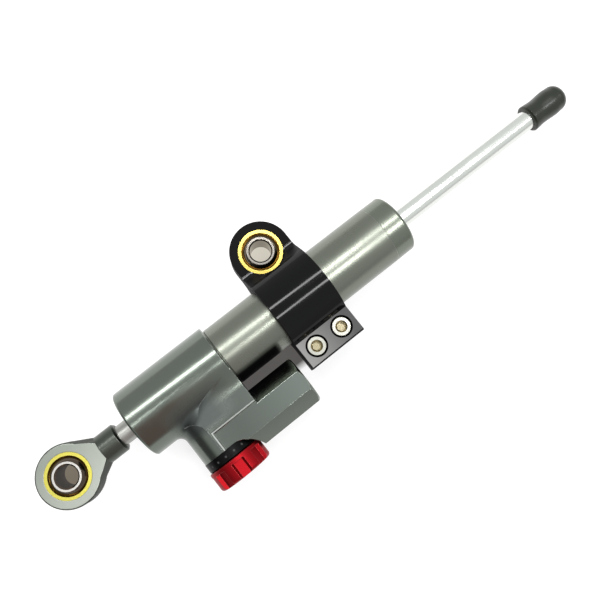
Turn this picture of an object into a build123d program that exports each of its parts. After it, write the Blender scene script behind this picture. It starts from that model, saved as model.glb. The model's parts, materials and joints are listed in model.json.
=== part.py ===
from build123d import *
import math
import os

# Steering damper for an electric scooter, in millimetres.
# The origin is the centre of the rod end's ball. X runs along the damper towards the rubber cap,
# Z is the axis of both bearing bores, and the adjuster knob and the reservoir lie on the -Y side.

# Bearings: one in the rod end and one in the clamp, both for an 8 mm bolt
bolt_bore_d = 8.0
bore_chamfer = 0.5
ball_width = 12.0
ball_sphere_d = 15.9
ball_clearance = 0.03
race_d = 18.0
race_width = 9.0
race_chamfer = 0.6
race_mouth_d = 14.4

# Rod end
eye_r = 11.7
eye_edge_r = 0.6
neck_angle = 29.0
shank_d = 11.3
shank_end_x = 21.9
shank_chamfer = 0.7
flat_end_x = 14.1
stud_d = 6.0
stud_length = 8.5

# Rod, piston and stroke
rod_d = 8.0
travel_out = 66.5
travel_in = 5.0
shank_stop_gap = 1.4
cap_stop_gap = 2.4
piston_length = 12.0
piston_stop_gap = 0.3
piston_slack = 0.25
band_width = 5.0
band_thickness = 1.3
clip_d = 11.0
clip_thickness = 1.0
clip_groove_depth = 0.4
clip_opening = 2.0
clip_recess_gap = 0.3

# Fits
static_clearance = 0.02
running_clearance = 0.03

# Gland at each end of the body: wiper outside, then land, rod seal and guide bush
gland_length = 19.55
wiper_d = 12.6
wiper_length = 3.0
land_d = 8.8
land_length = 1.3
guide_d = 12.0
seal_length = 4.0
register_length = 3.0
lip_width = 0.5
wiper_lip_depth = 0.5
wiper_scraper_depth = 0.9
wiper_web_depth = 1.4
wiper_face_inset = 0.3
seal_groove_depth = 1.8

# Tubes, collar and end cap
collar_wall = 1.7
collar_length = 39.5
collar_edge_r = 0.9
collar_end_chamfer = 0.3
tube_d = 24.0
tube_wall = 1.8
tube_seat_gap = 1.8
seam_groove_width = 0.6
inner_tube_bore = 15.0
inner_tube_wall = 1.2
end_cap_length = 8.5
end_cap_edge_r = 1.2
oring_section = 1.4
tube_oring_section = 1.0
groove_gap = 0.3
tube_groove_inset = 2.5
cross_port_d = 2.0
cross_port_count = 4

# Valve block between collar and reservoir
knob_x = 49.5
boss_r = 10.2
boss_reach = 27.3
boss_root_r = 3.0
web_half = 10.3
web_foot = 14.5
web_end_x = 48.1
web_corner_r = 5.9
web_corner_y = 18.4
run_out_x = 47.5
run_out_y = 13.0
run_out_turn = 42.0
run_out_slope = 33.0
run_out_edge_r = 4.0
facet_half = 9.45
facet_start_x = 49.6
facet_top = 20.5
facet_wall_angle = 45.0

# Octagonal reservoir beside the tube
reservoir_offset = 25.2
reservoir_end_x = 87.0
reservoir_chamfer = 0.3
reservoir_bore_d = 12.6
reservoir_bore_x = 66.0
reservoir_port_d = 2.0
plug_length = 5.0
plug_socket_size = 6.0
plug_socket_depth = 3.0
plug_oring_section = 1.2
plug_groove_inset = 1.0
float_length = 6.0
float_rest_gap = 2.5
spring_wire_d = 0.9
spring_turns = 3.5
spring_side_gap = 0.6
spring_pocket_depth = 2.0

# Adjuster knob with its dial ring, gland nut, spindle, needle and seat
knob_overhang = 0.7
knob_gap = 0.15
knob_side_height = 6.4
knob_dome_height = 1.2
knob_dome_inset = 1.6
knob_flange_height = 1.5
knob_notch_count = 8
knob_notch_floor = 3.4
knob_notch_mouth = 5.6
knob_notch_depth = 1.5
knob_notch_turn = -4.0
dial_recess_gap = 0.3
knob_recess_gap = 1.5
knob_recess_edge_r = 3.0
knob_web = 1.2
knob_base_chamfer = 0.3
dial_ring_overhang = 0.1
dial_ring_height = 3.7
dial_ring_chamfer = 0.3
nut_thread_d = 9.0
nut_thread_length = 5.0
nut_flange_d = 12.4
nut_flange_height = 1.2
nut_key_hole_d = 1.2
nut_key_hole_depth = 0.8
nut_key_hole_r = 4.45
spindle_d = 5.0
spindle_flange_d = 8.4
spindle_flange_height = 1.4
spindle_flat = 0.6
spindle_end_gap = 0.2
spindle_oring_section = 1.0
hex_drive_size = 2.9
hex_drive_gap = 0.3
knob_screw_d = 3.0
knob_screw_length = 7.0
knob_screw_head_d = 5.5
knob_screw_head_height = 2.4
knob_screw_hole_gap = 0.1
knob_screw_end_gap = 0.5
knob_screw_socket = 2.0
screw_recess_d = 6.2
seat_d = 9.0
seat_spindle_gap = 0.9
seat_shoulder_depth = 2.2
seat_floor = 0.8
seat_nose_d = 5.0
seat_tip_gap = 0.5
orifice_d = 2.0
orifice_length = 0.9
needle_chamber_d = 3.2
needle_thread_d = 5.0
needle_floor = 1.6
needle_stem_d = 2.6
needle_tip_d = 0.8
needle_cone_length = 2.4
needle_travel = 0.7
detent_inset = 2.7
detent_ball_d = 2.0
detent_ball_gap = 0.05
detent_depth = 6.5
detent_dimple_r = 0.7
detent_dimple_depth = 0.3
detent_spring_turns = 3
detent_wire_d = 0.35

# Rubber cap on the free end of the rod
cap_length = 17.9
cap_socket_depth = 14.0
cap_mouth_r = 5.5
cap_waist_r = 5.2
cap_bulge_r = 5.48
cap_waist_at = 5.1
cap_bulge_at = 12.5
cap_mouth_chamfer = 0.55
cap_draft = 0.15
cap_nose_r = 3.6

# Mounting clamp on the outer tube
clamp_x = 103.1
clamp_width = 23.4
clamp_wall = 4.0
lug_gap = 1.0
lug_flat_inset = 5.05
lug_crease_r = 3.0
ear_half = 8.1
ear_beyond_screw = 6.0
ear_corner_r = 0.8
slit_width = 2.0
screw_inset = 6.6
screw_pitch = 11.5
screw_d = 4.0
screw_head_d = 7.0
screw_head_height = 4.0
screw_socket = 3.0
screw_socket_depth = 2.2
screw_length = 12.0
screw_head_chamfer = 0.15
screw_socket_mouth_d = 4.5
screw_hole_gap = 0.2
counterbore_gap = 0.65
counterbore_depth = 4.2

# Sizes that follow from those above
collar_x = shank_end_x + travel_in + shank_stop_gap
cavity_length = travel_out + travel_in + piston_length + 2 * piston_stop_gap
body_end_x = collar_x + 2 * gland_length + cavity_length
collar_end_x = collar_x + collar_length
cap_seam_x = body_end_x - end_cap_length
cap_x = body_end_x + travel_out + cap_stop_gap
rod_end_x = cap_x + cap_socket_depth
left_stop_x = collar_x + gland_length
right_stop_x = body_end_x - gland_length
piston_x = left_stop_x + piston_stop_gap + travel_out
collar_d = tube_d + 2 * collar_wall
annulus_d = tube_d - 2 * tube_wall
inner_tube_d = inner_tube_bore + 2 * inner_tube_wall
shoulder_depth = gland_length - register_length
tube_start_x = knob_x + seat_nose_d / 2 + tube_seat_gap
dial_ring_r = boss_r + dial_ring_overhang
knob_r = dial_ring_r + knob_overhang
detent_radius = dial_ring_r - detent_inset
detent_hole_r = detent_ball_d / 2 + detent_ball_gap
dial_top = boss_reach + dial_ring_height
knob_base = dial_top + knob_gap
knob_front = knob_base + knob_side_height + knob_dome_height
spindle_top = knob_front - knob_screw_head_height - knob_web - spindle_end_gap
spindle_flange_base = boss_reach - nut_thread_length - static_clearance - spindle_flange_height
seat_top = spindle_flange_base - seat_spindle_gap
seat_shoulder = tube_d / 2 + seat_shoulder_depth
seat_tip = inner_tube_bore / 2 + seat_tip_gap
needle_bore_floor = seat_shoulder + seat_floor
needle_thread_start = needle_bore_floor + needle_travel + hex_drive_gap
clamp_ring_r = tube_d / 2 + clamp_wall
lug_y = tube_d / 2 + lug_gap + race_d / 2
lug_end_r = clamp_width / 2
lug_flat_end = lug_y - lug_flat_inset
screw_y = tube_d / 2 + screw_inset
ear_reach = screw_y + ear_beyond_screw

ALONG_X = Rot(0, 90, 0)
ALONG_KNOB = Pos(knob_x, 0, 0) * Rot(90, 0, 0)
RESERVOIR = Pos(0, -reservoir_offset, 0)
LUG = Pos(clamp_x, lug_y, 0)


def turned(points):
    """Solid of revolution about Z from (radius, height) points."""
    outline = Polyline([(r, 0, h) for r, h in points], close=True)
    return revolve(make_face(outline), Axis.Z)


def rod(radius, start, end):
    """Cylinder about Z from one height to another."""
    standing = (Align.CENTER, Align.CENTER, Align.MIN)
    return Pos(0, 0, start) * Cylinder(radius, end - start, align=standing)


def ring(outer, inner, start, end):
    """Plain ring about Z."""
    return rod(outer, start, end) - rod(inner, start - 1, end + 1)


def hexagon(size, start, end):
    """Hexagonal bar about Z, measured across its flats."""
    profile = RegularPolygon(size / 2, 6, major_radius=False)
    return Pos(0, 0, start) * extrude(profile, end - start)


def oring(centre_r, section):
    return Torus(centre_r, section / 2)


def coil(radius, wire_d, height, turns):
    """Round wire wound about Z, from height 0 up."""
    path = Helix((height - wire_d) / turns, height - wire_d, radius)
    section = Plane(origin=path @ 0, z_dir=path % 0) * Circle(wire_d / 2)
    return Pos(0, 0, wire_d / 2) * sweep(section, path)


# Spherical bearings
def bearing_ball():
    ball = Sphere(ball_sphere_d / 2)
    ball = ball & Box(ball_sphere_d * 2, ball_sphere_d * 2, ball_width)
    ball -= rod(bolt_bore_d / 2, -ball_width, ball_width)
    bore_edges = ball.edges().filter_by(GeomType.CIRCLE).filter_by(lambda e: e.radius < bolt_bore_d / 2 + 0.1)
    return chamfer(bore_edges, bore_chamfer)


def race_blank(extra):
    """Race outline with staked edges; extra widens it into the seat that holds it."""
    r = race_d / 2 + extra
    half = race_width / 2
    edge = r - race_chamfer
    blank = turned([(0, -half), (edge, -half), (r, race_chamfer - half),
                    (r, half - race_chamfer), (edge, half), (0, half)])
    if extra:
        blank += rod(edge, -half - 1, half + 1)
    return blank


def bearing_race():
    race = race_blank(0) - Sphere(ball_sphere_d / 2 + ball_clearance)
    half = race_width / 2
    mouth_r = race_mouth_d / 2
    mouth = turned([(0, half - mouth_r), (mouth_r + 1, half + 1), (0, half + 1)])
    return race - mouth - mirror(mouth, Plane.XY)


# Rod end
def rod_end():
    half = race_width / 2
    slope = math.radians(neck_angle)
    shank_r = shank_d / 2
    tangent_x = eye_r * math.sin(slope)
    tangent_r = eye_r * math.cos(slope)
    shoulder_x = tangent_x + (tangent_r - shank_r) / math.tan(slope)
    neck = ALONG_X * turned([(0, 0), (tangent_r, 0), (tangent_r, tangent_x), (shank_r, shoulder_x),
                             (shank_r, shank_end_x - shank_chamfer),
                             (shank_r - shank_chamfer, shank_end_x), (0, shank_end_x)])
    beyond = 2 * tangent_r
    milled_x = eye_r + flat_end_x
    for side in (1, -1):
        middle_z = side * (half + beyond / 2)
        neck -= Pos(flat_end_x - milled_x / 2, 0, middle_z) * Box(milled_x, 2 * beyond, beyond)
    eye = rod(eye_r, -half, half)
    eye = fillet(eye.edges().filter_by(GeomType.CIRCLE), eye_edge_r)
    body = eye + neck
    body -= race_blank(static_clearance)
    stud_hole_x = shank_end_x - stud_length - static_clearance
    return body - ALONG_X * rod(stud_d / 2 + static_clearance, stud_hole_x, shank_end_x + 1)


# Rod and piston
def clip_depth():
    return rod_d / 2 - clip_groove_depth


def piston_rod():
    r = rod_d / 2
    points = [(0, shank_end_x - stud_length), (stud_d / 2, shank_end_x - stud_length),
              (stud_d / 2, shank_end_x + static_clearance), (r, shank_end_x + static_clearance)]
    for start in clip_starts():
        points += [(r, start), (clip_depth(), start),
                   (clip_depth(), start + clip_thickness), (r, start + clip_thickness)]
    points += [(r, rod_end_x - bore_chamfer), (r - bore_chamfer, rod_end_x), (0, rod_end_x)]
    return ALONG_X * turned(points)


def clip_starts():
    """Where the two spring clips sit, sunk in the faces of the piston."""
    return (piston_x, piston_x + piston_length - clip_thickness)


def piston_clips():
    clips = []
    for start in clip_starts():
        clip = ring(clip_d / 2, clip_depth() + static_clearance, start, start + clip_thickness)
        opening = Pos(clip_d / 2, 0, start) * Box(clip_d, clip_opening, 4 * clip_thickness)
        clips.append(ALONG_X * (clip - opening))
    return Compound(children=clips)


def piston():
    r = inner_tube_bore / 2 - piston_slack
    groove_r = inner_tube_bore / 2 - running_clearance - band_thickness
    end_x = piston_x + piston_length
    middle = piston_x + piston_length / 2
    body = rod(r, piston_x, end_x)
    body -= rod(rod_d / 2 + static_clearance, piston_x - 1, end_x + 1)
    body -= ring(r + 1, groove_r, middle - band_width / 2, middle + band_width / 2)
    recess_r = clip_d / 2 + clip_recess_gap
    body -= rod(recess_r, piston_x - 1, piston_x + clip_thickness + static_clearance)
    body -= rod(recess_r, end_x - clip_thickness - static_clearance, end_x + 1)
    return ALONG_X * body


def piston_band():
    outer = inner_tube_bore / 2 - running_clearance
    inner = outer - band_thickness + running_clearance
    middle = piston_x + piston_length / 2
    half = band_width / 2 - running_clearance
    return ALONG_X * ring(outer, inner, middle - half, middle + half)


def rubber_cap():
    mouth = (cap_mouth_r, cap_mouth_chamfer)
    waist = (cap_waist_r, cap_waist_at)
    bulge = (cap_bulge_r, cap_bulge_at)
    shoulder = (cap_bulge_r - cap_draft, cap_length - cap_nose_r)
    nose = (shoulder[0] - cap_nose_r, cap_length)
    bend = cap_nose_r * math.sin(math.radians(45))
    side = Spline([(r, 0, h) for r, h in (mouth, waist, bulge, shoulder)], tangents=((0, 0, 1), (0, 0, 1)))
    end = ThreePointArc((shoulder[0], 0, shoulder[1]), (nose[0] + bend, 0, shoulder[1] + bend),
                        (nose[0], 0, cap_length))
    inside = Polyline([(nose[0], 0, cap_length), (0, 0, cap_length), (0, 0, 0),
                       (cap_mouth_r - cap_mouth_chamfer, 0, 0), (mouth[0], 0, mouth[1])])
    body = revolve(make_face(side + end + inside), Axis.Z)
    body -= rod(rod_d / 2 + static_clearance, -1, cap_socket_depth + static_clearance)
    return ALONG_X * Pos(0, 0, cap_x) * body


# Glands, the same at both ends of the body. Heights run inwards from the outer face.
def gland_bores():
    deep = gland_length + 1
    seal_start = wiper_length + land_length
    bores = rod(wiper_d / 2, -1, wiper_length)
    bores += rod(land_d / 2, -1, deep)
    return bores + rod(guide_d / 2, seal_start, deep)


def wiper():
    outer = wiper_d / 2 - static_clearance
    lip = rod_d / 2 + running_clearance
    end = wiper_length - static_clearance
    return turned([(outer, wiper_face_inset), (outer, end), (lip + 2 * lip_width, end),
                   (lip + lip_width, wiper_web_depth), (lip, wiper_lip_depth), (lip, 0), (lip + lip_width, 0),
                   (lip + 2 * lip_width, wiper_scraper_depth), (lip + 3 * lip_width, wiper_face_inset)])


def rod_seal():
    outer = guide_d / 2 - static_clearance
    lip = rod_d / 2 + running_clearance
    start = wiper_length + land_length + static_clearance
    end = start + seal_length - 2 * static_clearance
    middle = (outer + lip) / 2
    return turned([(lip, start), (outer, start), (outer, end), (outer - lip_width, end),
                   (middle, end - seal_groove_depth), (lip + lip_width, end), (lip, end)])


def guide_bush():
    start = wiper_length + land_length + seal_length
    return ring(guide_d / 2 - static_clearance, rod_d / 2 + running_clearance, start, gland_length)


def gland_place(at_cap):
    """Local gland height to the damper: inwards from the collar's face or from the end cap's face."""
    if at_cap:
        return Pos(body_end_x, 0, 0) * Rot(0, -90, 0)
    return Pos(collar_x, 0, 0) * ALONG_X


# Tubes and end cap
def cross_ports(bore_d, x, reach, count):
    ports = Part()
    for number in range(count):
        ports += Pos(x, 0, 0) * Rot(360 / count * number, 0, 0) * rod(bore_d / 2, 0, reach)
    return ports


def inner_tube():
    start = collar_x + shoulder_depth + static_clearance
    end = body_end_x - shoulder_depth - static_clearance
    tube = ALONG_X * ring(inner_tube_d / 2, inner_tube_bore / 2, start, end)
    port_x = right_stop_x - cross_port_d
    tube -= cross_ports(cross_port_d, port_x, inner_tube_d, cross_port_count)
    nose_hole = rod(seat_nose_d / 2 + static_clearance, 0, inner_tube_d)
    return tube - ALONG_KNOB * nose_hole


def outer_tube():
    start = tube_start_x + static_clearance
    tube = ring(tube_d / 2, annulus_d / 2, start, cap_seam_x)
    groove_x = tube_start_x + tube_groove_inset
    groove_r = tube_d / 2 - tube_oring_section
    tube -= ring(tube_d, groove_r, groove_x, groove_x + tube_oring_section + groove_gap)
    seam_half = seam_groove_width / 2
    seam_x = collar_end_x + seam_half
    seam_groove = turned([(tube_d / 2 - seam_half, seam_x), (tube_d / 2 + 1, seam_x - seam_half - 1),
                          (tube_d / 2 + 1, seam_x + seam_half + 1)])
    return ALONG_X * (tube - seam_groove)


def tube_oring():
    middle_x = tube_start_x + tube_groove_inset + (tube_oring_section + groove_gap) / 2
    return Pos(middle_x, 0, 0) * ALONG_X * oring((tube_d - tube_oring_section) / 2, tube_oring_section)


def cap_groove_x():
    return cap_seam_x - tube_groove_inset - oring_section


def end_cap():
    shoulder_x = body_end_x - shoulder_depth
    plug_r = annulus_d / 2 - static_clearance
    register_r = inner_tube_bore / 2 - static_clearance
    body = ALONG_X * rod(tube_d / 2, cap_seam_x, body_end_x)
    rim = body.edges().filter_by(GeomType.CIRCLE).sort_by(Axis.X)[-1]
    body = fillet(rim, end_cap_edge_r)
    body += ALONG_X * rod(plug_r, shoulder_x, cap_seam_x)
    body += ALONG_X * rod(register_r, right_stop_x, shoulder_x)
    groove_r = annulus_d / 2 - oring_section
    body -= ALONG_X * ring(tube_d, groove_r, cap_groove_x(), cap_groove_x() + oring_section + groove_gap)
    return body - gland_place(True) * gland_bores()


def end_cap_oring():
    x = cap_groove_x() + (oring_section + groove_gap) / 2
    section = oring_section - 2 * static_clearance
    return Pos(x, 0, 0) * ALONG_X * oring((annulus_d - oring_section) / 2, section)


# Valve block
def web_profile_radius():
    """Radius of the hollow that runs from the web's foot up to the collar, touching both."""
    collar_r = collar_d / 2
    return (web_foot ** 2 - collar_r ** 2 + web_half ** 2) / (2 * (collar_r - web_half))


def web():
    """Web from collar to reservoir, hollow towards the collar and flat beyond, with a rounded left end."""
    hollow_r = web_profile_radius()
    centre_z = web_half + hollow_r
    share = collar_d / 2 / (collar_d / 2 + hollow_r)
    touch = (-web_foot * share, centre_z * share)
    half_turn = math.atan2(web_foot * (1 - share), centre_z * (1 - share)) / 2
    middle = (hollow_r * math.sin(half_turn) - web_foot, centre_z - hollow_r * math.cos(half_turn))
    hollow = ThreePointArc(touch, middle, (-web_foot, web_half))
    rest = Polyline([(-web_foot, web_half), (-web_corner_y, web_half), (-web_corner_y, 0), (0, 0),
                     (0, touch[1]), touch])
    corner_x = web_end_x - web_corner_r
    upper = Pos(corner_x, 0, 0) * (Plane.YZ * extrude(make_face(hollow + rest), collar_end_x - corner_x))
    upper -= run_out()
    brow = [e for e in upper.edges() if is_run_out_brow(e)]
    upper = fillet(brow, run_out_edge_r)
    corner = Pos(corner_x, -web_corner_y, 0) * Cylinder(web_corner_r, 4 * web_half)
    slab_length = collar_end_x - web_end_x
    slab_width = boss_reach - web_foot
    slab = Pos(web_end_x + slab_length / 2, -web_foot - slab_width / 2, 0)
    return upper + mirror(upper, Plane.XY) - corner + slab * Box(slab_length, slab_width, 2 * web_half)


def is_run_out_brow(edge):
    """True for the two curves where the run-out slope leaves the web's hollow and its flat."""
    box = edge.bounding_box()
    return min(box.size.X, box.size.Y) > 1 and abs(box.min.Z - web_half) < 0.1


def run_out():
    """Everything above the slope that runs the web's left end out into the collar."""
    size = collar_d * 2
    slope = Pos(run_out_x, -run_out_y, web_half) * Rot(0, 0, run_out_turn) * Rot(-run_out_slope, 0, 0)
    return slope * Pos(0, 0, size / 2) * Box(2 * size, 2 * size, size)


def octagon_bar():
    profile = RegularPolygon(facet_half, 8, major_radius=False, rotation=22.5)
    bar = RESERVOIR * Pos(knob_x, 0, 0) * ALONG_X * extrude(profile, reservoir_end_x - knob_x)
    tip_r = facet_half - reservoir_chamfer
    wide_r = 2 * facet_half
    cone = turned([(0, knob_x - 1), (wide_r, knob_x - 1), (wide_r, reservoir_end_x + tip_r - wide_r),
                   (tip_r, reservoir_end_x), (0, reservoir_end_x)])
    return bar & (RESERVOIR * ALONG_X * cone)


def facet_pockets():
    """Milled flats above and below, level with the reservoir's faces, with sloping walls."""
    width = reservoir_end_x - facet_start_x
    height = boss_reach
    foot = Pos(facet_start_x + width / 2, -facet_top - height / 2, facet_half) * Rectangle(width, height)
    pocket = extrude(foot, 2 * (web_half - facet_half) + 1, taper=-facet_wall_angle)
    return pocket + mirror(pocket, Plane.XY)


def valve_block():
    collar = ALONG_X * rod(collar_d / 2, collar_x, collar_end_x)
    left_edge, *_, right_edge = collar.edges().filter_by(GeomType.CIRCLE).sort_by(Axis.X)
    collar = chamfer(right_edge, collar_end_chamfer)
    left_edge = collar.edges().filter_by(GeomType.CIRCLE).sort_by(Axis.X)[0]
    collar = fillet(left_edge, collar_edge_r)
    boss = ALONG_KNOB * rod(boss_r, 0, boss_reach)
    body = collar + boss
    root = [e for e in body.edges() if is_boss_root(e)]
    body = fillet(root, boss_root_r)
    body += web()
    body += octagon_bar()
    body -= facet_pockets()
    recess = rod(knob_r + knob_recess_gap, boss_reach, 2 * boss_reach)
    recess = fillet(recess.edges().filter_by(GeomType.CIRCLE).sort_by(Axis.Z)[0], knob_recess_edge_r)
    recess += rod(dial_ring_r + dial_recess_gap, boss_reach, 2 * boss_reach)
    body -= ALONG_KNOB * recess
    body -= block_bores()
    return body


def is_boss_root(edge):
    """True for the curve where the round boss meets the collar."""
    box = edge.bounding_box()
    curved = edge.geom_type not in (GeomType.CIRCLE, GeomType.LINE)
    return curved and box.size.X > boss_r / 2 and box.max.Y < 0


def block_bores():
    tube_pocket = rod(tube_d / 2 + static_clearance, tube_start_x, collar_end_x + 1)
    register_r = inner_tube_bore / 2 - static_clearance
    annulus = ring(annulus_d / 2, register_r, collar_x + shoulder_depth, left_stop_x)
    cavity = rod(annulus_d / 2, left_stop_x, tube_start_x + 1)
    bores = ALONG_X * (tube_pocket + annulus + cavity)
    bores += gland_place(False) * gland_bores()
    valve = rod(nut_thread_d / 2 + static_clearance, seat_shoulder, boss_reach + 1)
    valve += rod(seat_nose_d / 2 + static_clearance, annulus_d / 4, seat_shoulder + 1)
    valve += Pos(0, detent_radius, 0) * rod(detent_hole_r, dial_top - detent_depth, boss_reach + 1)
    bores += ALONG_KNOB * valve
    reservoir = rod(reservoir_bore_d / 2, reservoir_bore_x, reservoir_end_x + 1)
    bores += RESERVOIR * ALONG_X * reservoir
    port_y = -reservoir_offset + reservoir_bore_d / 2 - reservoir_port_d
    port = rod(reservoir_port_d / 2, knob_x + spindle_d / 2, reservoir_bore_x + 1)
    return bores + Pos(0, port_y, 0) * ALONG_X * port


# Reservoir inner parts
def float_start_x():
    return reservoir_bore_x + float_rest_gap


def compensator_piston():
    r = reservoir_bore_d / 2 - running_clearance
    start = float_start_x()
    end = start + float_length
    body = rod(r, start, end)
    body -= rod(r - plug_oring_section, end - spring_pocket_depth, end + 1)
    groove_r = r - plug_oring_section
    groove_start = start + plug_groove_inset
    body -= ring(r + 1, groove_r, groove_start, groove_start + plug_oring_section + groove_gap)
    return RESERVOIR * ALONG_X * body


def compensator_oring():
    r = reservoir_bore_d / 2 - running_clearance
    x = float_start_x() + plug_groove_inset + (plug_oring_section + groove_gap) / 2
    return RESERVOIR * Pos(x, 0, 0) * ALONG_X * oring(r - plug_oring_section / 2, plug_oring_section)


def compensator_spring():
    start = float_start_x() + float_length - spring_pocket_depth
    end = reservoir_end_x - plug_length
    radius = reservoir_bore_d / 2 - plug_oring_section - spring_side_gap - spring_wire_d / 2
    return RESERVOIR * Pos(start, 0, 0) * ALONG_X * coil(radius, spring_wire_d, end - start, spring_turns)


def plug_groove_x():
    return reservoir_end_x - plug_length + plug_groove_inset


def reservoir_plug():
    r = reservoir_bore_d / 2 - static_clearance
    start = reservoir_end_x - plug_length
    body = rod(r, start, reservoir_end_x)
    body -= hexagon(plug_socket_size, reservoir_end_x - plug_socket_depth, reservoir_end_x + 1)
    groove_end = plug_groove_x() + plug_oring_section + groove_gap
    body -= ring(r + 1, r - plug_oring_section, plug_groove_x(), groove_end)
    return RESERVOIR * ALONG_X * body


def plug_oring():
    r = reservoir_bore_d / 2 - static_clearance
    x = plug_groove_x() + (plug_oring_section + groove_gap) / 2
    return RESERVOIR * Pos(x, 0, 0) * ALONG_X * oring(r - plug_oring_section / 2, plug_oring_section)


# Adjuster, built about Z and then laid along the knob's axis, heights measured from the damper's axis
def valve_seat():
    nose_r = seat_nose_d / 2
    body = rod(seat_d / 2, seat_shoulder + static_clearance, seat_top)
    body += rod(nose_r, seat_tip, seat_shoulder + 1)
    body -= rod(orifice_d / 2, 0, seat_top)
    body -= rod(needle_chamber_d / 2, seat_tip + orifice_length, seat_top)
    body -= rod(needle_thread_d / 2 + running_clearance, needle_bore_floor, seat_top + 1)
    port_height = (annulus_d + inner_tube_d) / 4
    for turn in (0, 90):
        body -= Pos(0, 0, port_height) * Rot(0, 90, turn) * Cylinder(0.5, 2 * nose_r)
    return ALONG_KNOB * body


def needle():
    seat_edge = seat_tip + orifice_length
    slope = (needle_stem_d - needle_tip_d) / 2 / needle_cone_length
    seated_r = orifice_d / 2 - running_clearance
    seated_tip = seat_edge - (seated_r - needle_tip_d / 2) / slope
    tip = seated_tip + needle_travel
    body = turned([(0, tip), (needle_tip_d / 2, tip), (needle_stem_d / 2, tip + needle_cone_length),
                   (needle_stem_d / 2, needle_thread_start), (needle_thread_d / 2, needle_thread_start),
                   (needle_thread_d / 2, seat_top), (0, seat_top)])
    socket_size = hex_drive_size + 2 * running_clearance
    body -= hexagon(socket_size, needle_thread_start + needle_floor, seat_top + 1)
    return ALONG_KNOB * body


def spindle():
    r = spindle_d / 2
    top = spindle_top - spindle_end_gap
    body = rod(r, spindle_flange_base, top)
    body += rod(spindle_flange_d / 2, spindle_flange_base, spindle_flange_base + spindle_flange_height)
    hex_tip = needle_thread_start + needle_floor + hex_drive_gap
    body += hexagon(hex_drive_size, hex_tip, spindle_flange_base)
    body -= Pos(0, spindle_d - spindle_flat, top) * Box(spindle_d * 2, spindle_d, 2 * (top - knob_base))
    groove_start = spindle_groove()
    groove_end = groove_start + spindle_oring_section + groove_gap
    body -= ring(r + 1, r - spindle_oring_section, groove_start, groove_end)
    body -= rod(knob_screw_d / 2 + static_clearance, spindle_top - knob_screw_length, top + 1)
    return ALONG_KNOB * body


def spindle_groove():
    return boss_reach - nut_thread_length / 2


def spindle_oring():
    height = spindle_groove() + (spindle_oring_section + groove_gap) / 2
    centre_r = (spindle_d - spindle_oring_section) / 2
    return ALONG_KNOB * Pos(0, 0, height) * oring(centre_r, spindle_oring_section)


def gland_nut():
    flange_base = dial_top - nut_flange_height
    body = rod(nut_thread_d / 2, boss_reach - nut_thread_length, dial_top)
    body += rod(nut_flange_d / 2 - static_clearance, flange_base + static_clearance, dial_top)
    body -= rod(spindle_d / 2 + running_clearance, 0, dial_top + 1)
    for side in (1, -1):
        hole = rod(nut_key_hole_d / 2, dial_top - nut_key_hole_depth, dial_top + 1)
        body -= Pos(side * nut_key_hole_r, 0, 0) * hole
    return ALONG_KNOB * body


def dial_ring():
    r = dial_ring_r
    body = turned([(nut_thread_d / 2 + static_clearance, boss_reach), (r, boss_reach),
                   (r, dial_top - dial_ring_chamfer), (r - dial_ring_chamfer, dial_top),
                   (nut_flange_d / 2, dial_top), (nut_flange_d / 2, dial_top - nut_flange_height),
                   (nut_thread_d / 2 + static_clearance, dial_top - nut_flange_height)])
    body -= Pos(0, detent_radius, 0) * rod(detent_hole_r, boss_reach - 1, dial_top + 1)
    return ALONG_KNOB * body


def detent_ball():
    height = dial_top + knob_gap / 3 - detent_ball_d / 2
    return ALONG_KNOB * Pos(0, detent_radius, height) * Sphere(detent_ball_d / 2)


def detent_spring():
    start = dial_top - detent_depth
    end = dial_top + knob_gap / 3 - detent_ball_d
    radius = (detent_ball_d - detent_wire_d) / 2 - detent_ball_gap
    spring = coil(radius, detent_wire_d, end - start, detent_spring_turns)
    return ALONG_KNOB * Pos(0, detent_radius, start) * spring


def knob():
    side_top = knob_base + knob_side_height
    dome_r = knob_r - knob_dome_inset
    bend = math.radians(45)
    middle = (dome_r + knob_dome_inset * math.sin(bend), 0, side_top + knob_dome_height * math.sin(bend))
    dome = ThreePointArc((knob_r, 0, side_top), middle, (dome_r, 0, knob_front))
    rest = Polyline([(dome_r, 0, knob_front), (0, 0, knob_front), (0, 0, knob_base),
                     (knob_r - knob_base_chamfer, 0, knob_base), (knob_r, 0, knob_base + knob_base_chamfer),
                     (knob_r, 0, side_top)])
    body = revolve(make_face(dome + rest), Axis.Z)
    cutter = knob_notch_cutter()
    dimple = Pos(0, detent_radius, 0) * rod(detent_dimple_r, 0, knob_base + detent_dimple_depth)
    for number in range(knob_notch_count):
        turn = 360 / knob_notch_count * number
        body -= Rot(0, 0, knob_notch_turn + turn) * cutter
        body -= Rot(0, 0, turn) * dimple
    body -= rod(screw_recess_d / 2, spindle_top + knob_web, knob_front + 1)
    body -= rod(knob_screw_d / 2 + knob_screw_hole_gap, 0, knob_front + 1)
    bore = rod(spindle_d / 2 + static_clearance, 0, spindle_top)
    flat = Pos(0, spindle_d - spindle_flat + static_clearance, 0)
    body -= bore - flat * Box(spindle_d * 2, spindle_d, 4 * knob_front)
    return ALONG_KNOB * body


def knob_notch_cutter():
    floor = knob_r - knob_notch_depth
    side = (knob_notch_mouth - knob_notch_floor) / 2 / knob_notch_depth
    rise = 2 * knob_notch_depth
    wide = knob_notch_floor / 2 + side * rise
    profile = Polyline([(-knob_notch_floor / 2, floor), (knob_notch_floor / 2, floor), (wide, floor + rise),
                        (-wide, floor + rise)], close=True)
    return Pos(0, 0, knob_base + knob_flange_height) * extrude(make_face(profile), knob_front)


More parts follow.
